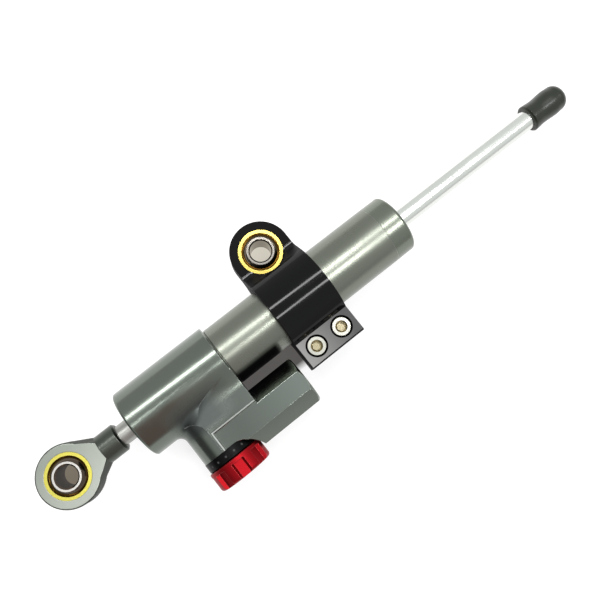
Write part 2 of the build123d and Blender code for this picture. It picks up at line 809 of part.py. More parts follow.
def knob_screw():
    seat = spindle_top + knob_web
    body = rod(knob_screw_d / 2, spindle_top - knob_screw_length + knob_screw_end_gap, seat)
    body += rod(knob_screw_head_d / 2, seat, seat + knob_screw_head_height)
    body -= hexagon(knob_screw_socket, seat + knob_screw_head_height / 2, seat + knob_screw_head_height + 1)
    return ALONG_KNOB * body


# Clamp
def clamp():
    half = race_width / 2
    reach = math.hypot(lug_flat_end, half)
    to_centre = math.atan2(half, lug_flat_end)
    spread = math.acos(clamp_ring_r / reach)
    touch = (clamp_ring_r * math.cos(to_centre + spread), clamp_ring_r * math.sin(to_centre + spread))
    lug_tip = lug_y + lug_end_r
    ear_y = -math.sqrt(clamp_ring_r ** 2 - ear_half ** 2)
    ring_face = Circle(clamp_ring_r)
    lug_face = make_face(Polyline([(0, 0), touch, (lug_flat_end, half), (lug_tip, half), (lug_tip, -half),
                                   (lug_flat_end, -half), (touch[0], -touch[1])], close=True))
    creases = [v for v in lug_face.vertices() if abs(v.X - lug_flat_end) < 0.1]
    lug_face = fillet(creases, lug_crease_r)
    ear_face = Pos((ear_y - ear_reach) / 2, 0) * Rectangle(ear_y + ear_reach, 2 * ear_half)
    outline = ring_face + lug_face + ear_face - Circle(tube_d / 2 + static_clearance)
    slit = Pos(-ear_reach / 2, 0) * Rectangle(ear_reach, slit_width)
    body = Pos(clamp_x - clamp_width / 2, 0, 0) * (Plane.YZ * extrude(outline - slit, clamp_width))
    ear_ends = [e for e in body.edges().filter_by(Axis.X) if is_ear_end(e)]
    body = fillet(ear_ends, ear_corner_r)
    plan = Pos(clamp_x, lug_y, 0) * Cylinder(lug_end_r, 4 * clamp_ring_r)
    plan += Pos(clamp_x, lug_y - 2 * ear_reach, 0) * Box(clamp_width, 4 * ear_reach, 4 * clamp_ring_r)
    body &= plan
    body -= LUG * race_blank(static_clearance)
    for side in (1, -1):
        spot_face = Cylinder(race_d / 2 + static_clearance, clamp_ring_r)
        body -= LUG * Pos(0, 0, side * (race_width + clamp_ring_r) / 2) * spot_face
    for place in screw_places():
        body -= place * rod(screw_head_d / 2 + counterbore_gap, ear_half - counterbore_depth, ear_half + 1)
        body -= place * rod(screw_d / 2 + screw_hole_gap, 0, ear_half + 1)
        body -= place * rod(screw_d / 2 + static_clearance, -ear_half - 1, 0)
    return body


def is_ear_end(edge):
    """True for the long outer corners of the ears, away from the slit."""
    centre = edge.center()
    return centre.Y < 1 - ear_reach and abs(centre.Z) > slit_width


def screw_places():
    return [Pos(clamp_x + side * screw_pitch / 2, -screw_y, 0) for side in (-1, 1)]


def clamp_screws():
    seat = ear_half - counterbore_depth
    screws = []
    for place in screw_places():
        screw = rod(screw_d / 2, seat - screw_length, seat)
        head = rod(screw_head_d / 2, seat, seat + screw_head_height)
        rim = head.edges().filter_by(GeomType.CIRCLE).sort_by(Axis.Z)[-1]
        screw += chamfer(rim, screw_head_chamfer)
        top = seat + screw_head_height
        screw -= hexagon(screw_socket, top - screw_socket_depth, top + 1)
        mouth_r = screw_socket_mouth_d / 2
        screw -= turned([(0, top - mouth_r), (mouth_r + 1, top + 1), (0, top + 1)])
        screws.append(place * screw)
    return Compound(children=screws)


nodes = {
    "rod_end_ball": bearing_ball(),
    "rod_end_race": bearing_race(),
    "rod_end": rod_end(),
    "piston_rod": piston_rod(),
    "piston": piston(),
    "piston_clips": piston_clips(),
    "piston_band": piston_band(),
    "rubber_cap": rubber_cap(),
    "valve_block": valve_block(),
    "outer_tube": outer_tube(),
    "tube_oring": tube_oring(),
    "inner_tube": inner_tube(),
    "end_cap": end_cap(),
    "end_cap_oring": end_cap_oring(),
    "reservoir_plug": reservoir_plug(),
    "plug_oring": plug_oring(),
    "compensator_piston": compensator_piston(),
    "compensator_oring": compensator_oring(),
    "compensator_spring": compensator_spring(),
    "valve_seat": valve_seat(),
    "needle": needle(),
    "spindle": spindle(),
    "spindle_oring": spindle_oring(),
    "gland_nut": gland_nut(),
    "dial_ring": dial_ring(),
    "detent_ball": detent_ball(),
    "detent_spring": detent_spring(),
    "knob": knob(),
    "knob_screw": knob_screw(),
    "clamp": clamp(),
    "clamp_race": LUG * bearing_race(),
    "clamp_ball": LUG * bearing_ball(),
    "clamp_screws": clamp_screws(),
}
for place_name, at_cap in (("front", False), ("rear", True)):
    nodes[place_name + "_wiper"] = gland_place(at_cap) * wiper()
    nodes[place_name + "_rod_seal"] = gland_place(at_cap) * rod_seal()
    nodes[place_name + "_guide_bush"] = gland_place(at_cap) * guide_bush()

os.makedirs("parts", exist_ok=True)
for name, shape in nodes.items():
    export_step(shape, f"parts/{name}.step")
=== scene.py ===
import json
import math

import bpy
from mathutils import Matrix, Vector


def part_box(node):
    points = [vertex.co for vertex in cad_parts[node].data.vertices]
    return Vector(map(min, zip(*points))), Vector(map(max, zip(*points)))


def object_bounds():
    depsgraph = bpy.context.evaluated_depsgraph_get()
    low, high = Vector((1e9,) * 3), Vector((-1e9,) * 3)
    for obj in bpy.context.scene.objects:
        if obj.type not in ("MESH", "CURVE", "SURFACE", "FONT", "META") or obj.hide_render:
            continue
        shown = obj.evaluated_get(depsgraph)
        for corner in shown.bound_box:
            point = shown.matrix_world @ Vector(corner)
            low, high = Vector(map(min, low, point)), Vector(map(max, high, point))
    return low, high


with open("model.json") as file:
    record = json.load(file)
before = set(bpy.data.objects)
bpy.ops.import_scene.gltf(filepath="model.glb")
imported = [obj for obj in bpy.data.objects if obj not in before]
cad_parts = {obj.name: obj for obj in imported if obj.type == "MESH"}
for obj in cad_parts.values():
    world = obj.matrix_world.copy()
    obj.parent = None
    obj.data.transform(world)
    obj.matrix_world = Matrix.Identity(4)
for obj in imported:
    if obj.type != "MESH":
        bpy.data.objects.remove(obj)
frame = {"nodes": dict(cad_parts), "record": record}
cad_low, cad_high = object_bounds()

MM = 0.001
FULL = (1.0, 1.0, 1.0)

# Camera, as read from the photograph: it stands 250 mm above the damper and looks almost straight down
CAMERA_PLACE = Vector((72.971, -21.923, 250.759)) * MM
CAMERA_TARGET = Vector((103.955, -1.008, 0.0)) * MM
CAMERA_ROLL = math.radians(37.988)
CAMERA_CLIP = 10 * MM
PICTURE_SIZE = 600
FOCAL_PIXELS = 671.459
SENSOR_WIDTH = 36.0

# Long ceiling lamps in metres, from one (x, y) end to the other, placed by where the tube mirrors them
LAMP_HEIGHT = 3.0
LAMP_RADIANCE = 20.0
LAMPS = (
    {"start": (-0.80, 1.76), "end": (1.25, 0.37), "width": 0.24},
    {"start": (0.10, -0.61), "end": (0.70, -0.75), "width": 0.24},
    {"start": (0.70, -0.75), "end": (1.20, -1.32), "width": 0.28},
    {"start": (0.72, 0.27), "end": (0.95, 0.27), "width": 0.24},
    {"start": (1.25, -0.85), "end": (2.30, -0.90), "width": 0.24},
    {"start": (-0.64, -0.22), "end": (-0.42, 0.14), "width": 0.07},
)

# Room light: even overhead, lower at the horizon, a dark wall at the left end and a warm dark patch before
# it. The limits are parts of a unit vector, and each tone comes in or fades out between its two limits
CEILING = (0.80, 0.82, 0.82)
CEILING_FOOT = (0.0, 0.45)
HORIZON_FRONT = (0.56, 0.56, 0.56)
HORIZON_BACK = (0.80, 0.80, 0.80)
HORIZON_TURN = (-0.5, 0.5)
WALL = (0.16, 0.16, 0.16)
WALL_RIGHT = (-0.80, -0.55)
WALL_TOP = (0.50, 0.75)
PATCH = (0.38, 0.22, 0.20)
PATCH_LEFT = (-0.26, -0.24)
PATCH_RIGHT = (-0.13, -0.05)
PATCH_BACK = (-0.3, -0.12)
PATCH_FOOT = (0.0, 0.1)

# The sheet under the damper shines a little by itself, more behind the damper than before it
FLOOR_SIZE = 2.0
FLOOR_GAP = 0.2 * MM
FLOOR_ALBEDO = (0.32, 0.32, 0.32)
FLOOR_ROUGHNESS = 0.9
FLOOR_GRAIN_SCALE = 200.0
FLOOR_GRAIN_DEPTH = 0.05 * MM
FLOOR_GLOW_FRONT = 0.72
FLOOR_GLOW_BACK = 1.0
FLOOR_GLOW_TURN = (-20 * MM, 40 * MM)

# Painted shade on the sheet, in mm, each patch of which moves with the node that it names: under the slot
# beside the reservoir, beside the clamp's ears, and under the two bearings, through which they show
SHADE_STRIPS = (
    {"node": "valve_block", "middle": (75.0, -14.0), "half": (12.0, 6.5), "blur": 1.5},
    {"node": "clamp", "middle": (90.0, -14.0), "half": (7.0, 6.5), "blur": 1.5},
)
STRIP_SHADE_TONE = (0.125, 0.118, 0.113)
SHADE_SPOTS = (
    {"node": "rod_end", "middle": (-4.9, 1.5), "radius": 7.4, "blur": 3.0, "tone": (0.20, 0.17, 0.135)},
    {"node": "clamp", "middle": (105.2, 25.2), "radius": 7.5, "blur": 2.9, "tone": (0.60, 0.57, 0.49)},
)

# A mask's edge is blurred by this much, or else by what stands beside it as (edge, blur)
SHARP = 0.02 * MM

# Faces are told apart by the upright part of their normal, which is 1 on a level face and 0 on an upright
# wall, as (edge, blur)
LEVEL = (0.97, 0.01)
UPRIGHT = (0.05, 0.02)
EYE_WALL_LEAN = (0.5, 0.1)
RESERVOIR_SIDE_LEAN = (0.9, 0.02)
POCKET_WALL_LEAN = (0.8, 0.02)
LUG_FACE_LEAN = (0.9995, 0.0003)
LUG_ROOT_LEAN = (0.9, 0.03)

# Rod end: its eye with two milled faces
RACE_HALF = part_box("rod_end_race")[1].z
EYE_END_X = 14.1 * MM
EYE_FACE_FOOT = RACE_HALF - 0.03 * MM
EYE_TURN = (-8 * MM, 8 * MM)
EYE_FACE_SHADES = ((0.40, 0.42, 0.375), (0.28, 0.30, 0.265))

# Rod: where the darker, duller finish of the end next to the rod end fades out
SHORT_ROD_FADE = (26 * MM, 50 * MM)

# Slot between the tube and the reservoir, with painted shade on the tube's and the reservoir's sides that
# face into it
TUBE_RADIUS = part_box("outer_tube")[1].z
SLOT_SHARE = 0.72
SLOT_EDGE_Y = -SLOT_SHARE * TUBE_RADIUS
SLOT_EDGE_BLUR = 0.8 * MM
SLOT_START = 62.5 * MM
SLOT_END = 86.3 * MM
SLOT_END_BLUR = 1.0 * MM
RESERVOIR_START = 67 * MM
RESERVOIR_EDGE = (-15.7 * MM, 0.1 * MM)
RESERVOIR_TURN = (RESERVOIR_EDGE[0], -12.6 * MM)
RESERVOIR_SLOT_SHADES = ((0.20, 0.21, 0.20), (0.01, 0.01, 0.01))
RESERVOIR_SHADES = ((0.75, 0.75, 0.75), FULL)

# Valve block: web, milled flats with sloping walls, and the run-out into the collar
WEB_HALF = 10.3 * MM
BLOCK_FLAT_TOP = WEB_HALF + 0.05 * MM
BLOCK_FLAT_TURN = (58 * MM, 84 * MM)
BLOCK_FLAT_SHADES = ((0.162, 0.180, 0.162), (0.250, 0.280, 0.255))
POCKET_FOOT = 9.85 * MM
POCKET_TOP = WEB_HALF - 0.02 * MM
POCKET_START_X = 48.6 * MM
POCKET_END_Y = -19.6 * MM
RUN_OUT_X = ((40 * MM, 3 * MM), (60 * MM, 5 * MM))
RUN_OUT_Y = ((-18 * MM, 1.5 * MM), (-6.5 * MM, 2.5 * MM))

# Clamp: ears with two screws, and the lug that holds the bearing
EAR_HALF = 8.1 * MM
EAR_FACE_FOOT = EAR_HALF - 0.05 * MM
EAR_ROOT_Y = -13.6 * MM
EAR_TURN = (92 * MM, 112 * MM)
EAR_FACE_LIGHTS = ((0.26, 0.255, 0.25), (0.07, 0.07, 0.07))
LUG_FACE_TOP = RACE_HALF + 0.05 * MM
LUG_ROOT = (13 * MM, 0.5 * MM)
LUG_CREASE_Y = 17.7 * MM
LUG_CREASE_HALF = 0.3 * MM
SCREWS_LOW, SCREWS_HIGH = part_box("clamp_screws")
SCREW_HEAD_RADIUS = 3.5 * MM
SCREW_MOUTH_RADIUS = 2.25 * MM

# Dial ring: dots round its side
DIAL_LOW, DIAL_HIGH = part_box("dial_ring")
DOT_PITCH = math.radians(20)
DOT_TURN = math.radians(11.3)
DOT_SIZE = (0.4 * MM, 0.05 * MM)

# Grain of the finishes, scales in waves per metre
EVEN = (1, 1, 1)
ROUND_X = (8, 1, 1)
NOISE_RANGE = (0.3, 0.7)
NOISE_DETAIL = 3.0
NOISE_ROUGHNESS = 0.55
CLOUD_DETAIL = 5.0
GRAIN_DEPTH = 0.6e-6
METAL_SPREAD = 0.04
METAL_SHADE = 0.94
METAL_SHADE_SCALE = 25.0
METAL_CLOUD_SCALE = 60.0
METAL_GRAIN_SCALE = 900.0
COAT_SPREAD = 0.05
COAT_SHADE = 0.8
COAT_SHADE_SCALE = 40.0
COAT_CLOUD_SCALE = 80.0
COAT_GRAIN_SCALE = 1500.0

# Edges: rounded in the shading, and worn down to lighter metal; on the red knob the lighter edges are a
# painted highlight
EDGE_RADIUS = 0.2 * MM
EDGE_SAMPLES = 8
EDGE_TURN = (0.93, 0.99)
EDGE_BREAK_SCALE = 700.0
EDGE_BREAK_LEAST = 0.3
EDGE_FINISH_ROUGHNESS = 0.35
BARE_METAL = (0.75, 0.77, 0.74)
RED_EDGE_HIGHLIGHT = (0.62, 0.10, 0.11)


def add_camera():
    """Camera at the photograph's place, rolled so that the damper runs from low left to high right."""
    look = (CAMERA_TARGET - CAMERA_PLACE).normalized()
    along = (Vector((1, 0, 0)) - look * look.x).normalized()
    across = along.cross(look)
    right = along * math.cos(CAMERA_ROLL) - across * math.sin(CAMERA_ROLL)
    up = along * math.sin(CAMERA_ROLL) + across * math.cos(CAMERA_ROLL)
    data = bpy.data.cameras.new("camera")
    data.sensor_width = SENSOR_WIDTH
    data.lens = FOCAL_PIXELS * SENSOR_WIDTH / PICTURE_SIZE
    data.clip_start = CAMERA_CLIP
    camera = bpy.data.objects.new("camera", data)
    camera.matrix_world = Matrix((right, up, -look)).transposed().to_4x4()
    camera.location = CAMERA_PLACE
    bpy.context.scene.collection.objects.link(camera)
    bpy.context.scene.camera = camera


def add_lamp(number, start, end, width):
    """Lamp that shines straight down from between two places under the ceiling."""
    start = Vector((*start, LAMP_HEIGHT))
    end = Vector((*end, LAMP_HEIGHT))
    light = bpy.data.lights.new(f"lamp_{number}", "AREA")
    light.shape = "RECTANGLE"
    light.size = (end - start).length
    light.size_y = width
    light.energy = LAMP_RADIANCE * math.pi * light.size * light.size_y
    lamp = bpy.data.objects.new(light.name, light)
    along = (end - start).normalized()
    down = Vector((0, 0, -1))
    side = down.cross(along)
    lamp.matrix_world = Matrix((along, -side, -down)).transposed().to_4x4()
    lamp.location = (start + end) / 2
    bpy.context.scene.collection.objects.link(lamp)


class Network:
    """A node tree under construction, with short calls for the nodes used here."""

    def __init__(self, tree):
        self.tree = tree

    def feed(self, value, socket):
        """Gives a socket a link, a number or a colour."""
        if isinstance(value, bpy.types.NodeSocket):
            self.tree.links.new(value, socket)
        elif isinstance(value, tuple):
            socket.default_value = (*value, 1)
        else:
            socket.default_value = value

    def axes(self, vector):
        """The three parts of a vector."""
        split = self.tree.nodes.new("ShaderNodeSeparateXYZ")
        self.feed(vector, split.inputs[0])
        return split.outputs

    def math(self, operation, first, second=0.0):
        """Result of one arithmetic operation."""
        node = self.tree.nodes.new("ShaderNodeMath")
        node.operation = operation
        self.feed(first, node.inputs[0])
        self.feed(second, node.inputs[1])
        return node.outputs[0]

    def ramp(self, source, low, high, start, end):
        """Maps a source from the range start to end to the range low to high."""
        node = self.tree.nodes.new("ShaderNodeMapRange")
        self.feed(source, node.inputs["Value"])
        self.feed(start, node.inputs["From Min"])
        self.feed(end, node.inputs["From Max"])
        self.feed(low, node.inputs["To Min"])
        self.feed(high, node.inputs["To Max"])
        return node.outputs["Result"]

    def rise(self, source, start, end):
        """0 up to the start, 1 from the end on."""
        return self.ramp(source, 0.0, 1.0, start, end)

    def fall(self, source, start, end):
        """1 up to the start, 0 from the end on."""
        return self.ramp(source, 1.0, 0.0, start, end)

    def above(self, source, edge, blur=SHARP):
        """1 where the source is over the edge, 0 under it."""
        return self.rise(source, edge - blur, edge + blur)

    def below(self, source, edge, blur=SHARP):
        """1 where the source is under the edge, 0 over it."""
        return self.fall(source, edge - blur, edge + blur)

    def within(self, source, start, end):
        """1 between two edges, each given with its blur."""
        return self.every(self.above(source, *start), self.below(source, *end))

    def every(self, first, *others):
        """1 only where every mask is 1."""
        for other in others:
            first = self.math("MULTIPLY", first, other)
        return first

    def mix(self, factor, first, second):
        """Mix of two colours."""
        node = self.tree.nodes.new("ShaderNodeMix")
        node.data_type = "RGBA"
        self.feed(factor, node.inputs["Factor"])
        self.feed(first, node.inputs["A"])
        self.feed(second, node.inputs["B"])
        return node.outputs["Result"]

    def product(self, first, second):
        """Two colours multiplied."""
        node = self.tree.nodes.new("ShaderNodeMix")
        node.data_type = "RGBA"
        node.blend_type = "MULTIPLY"
        node.inputs["Factor"].default_value = 1.0
        self.feed(first, node.inputs["A"])
        self.feed(second, node.inputs["B"])
        return node.outputs["Result"]

    def blend(self, factor, first, second):
        """Mix of two numbers."""
        node = self.tree.nodes.new("ShaderNodeMix")
        self.feed(factor, node.inputs["Factor"])
        self.feed(first, node.inputs["A"])
        self.feed(second, node.inputs["B"])
        return node.outputs["Result"]

    def gradient(self, axis, limits, tones):
        """Colour that turns from the first tone to the second between two limits of an axis."""
        return self.mix(self.rise(axis, *limits), *tones)


def add_world():
    """Light that comes from all round, by its direction."""
    world = bpy.data.worlds.new("room")
    world.use_nodes = True
    bpy.context.scene.world = world
    net = Network(world.node_tree)
    sky = net.tree.nodes.new("ShaderNodeTexCoord").outputs["Generated"]
    x, y, z = net.axes(sky)
    horizon = net.gradient(y, HORIZON_TURN, (HORIZON_FRONT, HORIZON_BACK))
    colour = net.gradient(z, CEILING_FOOT, (horizon, CEILING))
    wall = net.every(net.fall(x, *WALL_RIGHT), net.fall(z, *WALL_TOP))
    colour = net.mix(wall, colour, WALL)
    patch = net.every(net.fall(x, *PATCH_RIGHT), net.rise(x, *PATCH_LEFT),
                      net.fall(y, *PATCH_BACK), net.rise(z, *PATCH_FOOT))
    colour = net.mix(patch, colour, PATCH)
    net.feed(colour, net.tree.nodes["Background"].inputs["Color"])


class Shader(Network):
    """A surface material, with its object place and normal split in axes."""

    def __init__(self, name, metallic=0.0, specular=0.5):
        self.material = bpy.data.materials.new(name)
        self.material.use_nodes = True
        super().__init__(self.material.node_tree)
        self.surface = self.tree.nodes["Principled BSDF"].inputs
        self.set("Metallic", metallic)
        self.set("Specular IOR Level", specular)
        coordinates = self.tree.nodes.new("ShaderNodeTexCoord")
        self.place = coordinates.outputs["Object"]
        self.x, self.y, self.z = self.axes(self.place)
        self.normal_z = self.math("ABSOLUTE", self.axes(coordinates.outputs["Normal"])[2])
        self.height = self.math("ABSOLUTE", self.z)

    def set(self, socket, value):
        """Gives an input of the surface its value."""
        self.feed(value, self.surface[socket])

    def distance(self, axis, centre):
        """How far a place is from a centre along one axis."""
        return self.math("ABSOLUTE", self.math("SUBTRACT", axis, centre))

    def length(self, first, second):
        """Length of a vector with two parts."""
        squares = self.math("ADD", self.math("POWER", first, 2.0), self.math("POWER", second, 2.0))
        return self.math("SQRT", squares)

    def seen_from(self, node):
        """A place's x and y in the space of a node, so that they follow the node's motion."""
        coordinates = self.tree.nodes.new("ShaderNodeTexCoord")
        coordinates.object = frame["nodes"][node]
        return self.axes(coordinates.outputs["Object"])[:2]

    def noise(self, scale, stretch=EVEN, detail=NOISE_DETAIL):
        """Noise in object space."""
        mapping = self.tree.nodes.new("ShaderNodeMapping")
        mapping.inputs["Scale"].default_value = stretch
        texture = self.tree.nodes.new("ShaderNodeTexNoise")
        texture.inputs["Scale"].default_value = scale
        texture.inputs["Detail"].default_value = detail
        texture.inputs["Roughness"].default_value = NOISE_ROUGHNESS
        self.feed(self.place, mapping.inputs["Vector"])
        self.feed(mapping.outputs[0], texture.inputs["Vector"])
        return texture.outputs["Fac"]

    def clouds(self, scale, middle, spread):
        """Cloudy roughness round a middle value."""
        noise = self.noise(scale, detail=CLOUD_DETAIL)
        return self.ramp(noise, middle - spread, middle + spread, *NOISE_RANGE)

    def shaded(self, colour, shade, scale):
        """A colour with darker clouds in it."""
        return self.mix(self.noise(scale), tuple(part * shade for part in colour), colour)

    def zoned(self, tint, rough, zones):
        """Tint and roughness with zones of other finish laid over them.

        Each zone is a mask function with the colour and the roughness that hold where its mask is 1.
        The colour is a plain one or a function that draws it."""
        for mask_of, colour, roughness in zones:
            mask = mask_of(self)
            if callable(colour):
                colour = colour(self)
            tint = self.mix(mask, tint, colour)
            rough = self.blend(mask, rough, roughness)
        return tint, rough

    def rounded(self):
        """Normal with the sharp edges rounded off."""
        bevel = self.tree.nodes.new("ShaderNodeBevel")
        bevel.samples = EDGE_SAMPLES
        bevel.inputs["Radius"].default_value = EDGE_RADIUS
        return bevel.outputs["Normal"]

    def edge_wear_and_highlight(self, rounded):
        """1 along the sharp edges, broken up where the finish is still whole: worn edges, and on the red
        knob a painted highlight.
        """
        geometry = self.tree.nodes.new("ShaderNodeNewGeometry")
        likeness = self.tree.nodes.new("ShaderNodeVectorMath")
        likeness.operation = "DOT_PRODUCT"
        self.feed(rounded, likeness.inputs[0])
        self.feed(geometry.outputs["Normal"], likeness.inputs[1])
        edge = self.fall(likeness.outputs["Value"], *EDGE_TURN)
        return self.math("MULTIPLY", edge, self.ramp(self.noise(EDGE_BREAK_SCALE), EDGE_BREAK_LEAST, 1.0, *NOISE_RANGE))

    def bump(self, height, depth, normal=None):
        """Raises the surface by the height, on the normal given or else on its own."""
        node = self.tree.nodes.new("ShaderNodeBump")
        node.inputs["Distance"].default_value = depth
        self.feed(height, node.inputs["Height"])
        if normal:
            self.feed(normal, node.inputs["Normal"])
        self.feed(node.outputs[0], self.surface["Normal"])


def metal(name, colour, roughness, grain=EVEN, edges=0.0, edge_colour=BARE_METAL, zones=(), matt=None):
    """Finished metal: cloudy roughness, fine grain, worn edges, edges with a painted highlight, and zones
    of other finish.

    The mask function matt tells where the surface scatters light as a fine milled face does."""
    shader = Shader(name, metallic=1.0)
    rough = shader.clouds(METAL_CLOUD_SCALE, roughness, METAL_SPREAD)
    tint = shader.shaded(colour, METAL_SHADE, METAL_SHADE_SCALE)
    tint, rough = shader.zoned(tint, rough, zones)
    normal = None
    if edges:
        normal = shader.rounded()
        wear_and_highlight = shader.math("MULTIPLY", shader.edge_wear_and_highlight(normal), edges)
        tint = shader.mix(wear_and_highlight, tint, edge_colour)
        rough = shader.blend(wear_and_highlight, rough, EDGE_FINISH_ROUGHNESS)
    if matt:
        shader.set("Metallic", shader.fall(matt(shader), 0.0, 1.0))
    shader.set("Base Color", tint)
    shader.set("Roughness", rough)
    shader.bump(shader.noise(METAL_GRAIN_SCALE, grain), GRAIN_DEPTH, normal)
    return shader.material


def coated(name, colour, roughness, spread=COAT_SPREAD, specular=0.5, zones=()):
    """Moulded or painted dark surface with a skin, and zones of other finish."""
    shader = Shader(name, specular=specular)
    rough = shader.clouds(COAT_CLOUD_SCALE, roughness, spread)
    tint = shader.shaded(colour, COAT_SHADE, COAT_SHADE_SCALE)
    tint, rough = shader.zoned(tint, rough, zones)
    shader.set("Base Color", tint)
    shader.set("Roughness", rough)
    shader.bump(shader.noise(COAT_GRAIN_SCALE), GRAIN_DEPTH, shader.rounded())
    return shader.material


def level_face(shader):
    """Faces that lie flat, up or down."""
    return shader.above(shader.normal_z, *LEVEL)


def side_wall(shader):
    """Walls that stand upright."""
    return shader.below(shader.normal_z, *UPRIGHT)


def eye_face(shader):
    """The rod end's two milled faces."""
    return shader.every(level_face(shader), shader.above(shader.height, EYE_FACE_FOOT),
                        shader.below(shader.x, EYE_END_X))


def eye_face_painted_shade(shader):
    """Painted shade: the eye's faces get a little darker towards +Y."""
    return shader.gradient(shader.y, EYE_TURN, EYE_FACE_SHADES)


def eye_wall(shader):
    """The wall round the rod end's eye."""
    return shader.every(shader.below(shader.normal_z, *EYE_WALL_LEAN), shader.below(shader.x, EYE_END_X))


def short_rod(shader):
    """The end of the rod next to the rod end, darker and duller."""
    return shader.fall(shader.x, *SHORT_ROD_FADE)


def slot_side_painted_shade(shader):
    """The tube's side towards the reservoir, painted nearly black as the shade down in the slot."""
    return shader.every(shader.below(shader.y, SLOT_EDGE_Y, SLOT_EDGE_BLUR),
                        shader.above(shader.x, SLOT_START),
                        shader.below(shader.x, SLOT_END, SLOT_END_BLUR))


def reservoir_side(shader):
    """The reservoir's side towards the tube."""
    return shader.every(shader.above(shader.y, *RESERVOIR_EDGE),
                        shader.below(shader.y, SLOT_EDGE_Y),
                        shader.above(shader.x, RESERVOIR_START),
                        shader.below(shader.normal_z, *RESERVOIR_SIDE_LEAN))


def reservoir_side_painted_shade(shader):
    """Painted shade: darker next to the collar and down in the slot."""
    along = shader.gradient(shader.x, (RESERVOIR_START, SLOT_END), RESERVOIR_SHADES)
    down = shader.gradient(shader.y, RESERVOIR_TURN, RESERVOIR_SLOT_SHADES)
    return shader.product(along, down)


def block_flat(shader):
    """The block's milled flats on top and below."""
    return shader.every(level_face(shader), shader.below(shader.height, BLOCK_FLAT_TOP))


def block_flat_painted_shade(shader):
    """Painted shade: the flats get lighter towards the reservoir's free end."""
    return shader.gradient(shader.x, BLOCK_FLAT_TURN, BLOCK_FLAT_SHADES)


def pocket_wall(shader):
    """Sloping walls of the milled flats on the valve block, light grey as bright-cut metal and as a painted
    highlight along the flats' edges.
    """
    return shader.every(shader.above(shader.height, POCKET_FOOT), shader.below(shader.height, POCKET_TOP),
                        shader.above(shader.x, POCKET_START_X), shader.below(shader.y, POCKET_END_Y),
                        shader.below(shader.normal_z, *POCKET_WALL_LEAN))


def milled_wall(shader):
    """All of the block's milled walls."""
    return shader.math("MAXIMUM", pocket_wall(shader), reservoir_side(shader))


def run_out(shader):
    """Where the web's left end is blended by hand into the collar."""
    return shader.every(shader.within(shader.x, *RUN_OUT_X), shader.within(shader.y, *RUN_OUT_Y))


def ear_face(shader):
    """The clamp's machined ear faces round the screws."""
    return shader.every(level_face(shader), shader.above(shader.height, EAR_FACE_FOOT),
                        shader.below(shader.y, EAR_ROOT_Y))


def ear_face_painted_light(shader):
    """Painted light: the ears' faces are light grey as the light they reflect, and get darker away from the
    head.
    """
    return shader.gradient(shader.x, EAR_TURN, EAR_FACE_LIGHTS)


def lug_face(shader):
    """The clamp's flat lug round the bearing."""
    return shader.every(shader.above(shader.normal_z, *LUG_FACE_LEAN),
                        shader.below(shader.height, LUG_FACE_TOP))


def lug_root(shader):
    """The clamp's slopes that run from the ring down to the lug."""
    return shader.every(shader.above(shader.y, *LUG_ROOT), shader.below(shader.normal_z, *LUG_ROOT_LEAN))


def lug_crease_highlight(shader):
    """Painted highlight along the crease where the lug's flat meets the slopes."""
    return shader.every(level_face(shader),
                        shader.below(shader.distance(shader.y, LUG_CREASE_Y), LUG_CREASE_HALF),
                        shader.below(shader.height, EAR_HALF))


def screw_mouth(shader):
    """The conical mouths and sockets of both clamp screws."""
    middle = (SCREWS_LOW + SCREWS_HIGH) / 2
    half_pitch = (SCREWS_HIGH.x - SCREWS_LOW.x) / 2 - SCREW_HEAD_RADIUS
    across = shader.math("SUBTRACT", shader.distance(shader.x, middle.x), half_pitch)
    along = shader.math("SUBTRACT", shader.y, middle.y)
    return shader.below(shader.length(across, along), SCREW_MOUTH_RADIUS)


def dial_dots(shader):
    """A row of plain dots round the dial ring's side."""
    middle = (DIAL_LOW + DIAL_HIGH) / 2
    radius = (DIAL_HIGH.x - DIAL_LOW.x) / 2
    angle = shader.math("ARCTAN2", shader.math("SUBTRACT", shader.x, middle.x), shader.z)
    steps = shader.math("DIVIDE", shader.math("SUBTRACT", angle, DOT_TURN), DOT_PITCH)
    off = shader.math("SUBTRACT", steps, shader.math("ROUND", steps))
    across = shader.math("MULTIPLY", off, DOT_PITCH * radius)
    along = shader.math("SUBTRACT", shader.y, middle.y)
    return shader.below(shader.length(across, along), *DOT_SIZE)


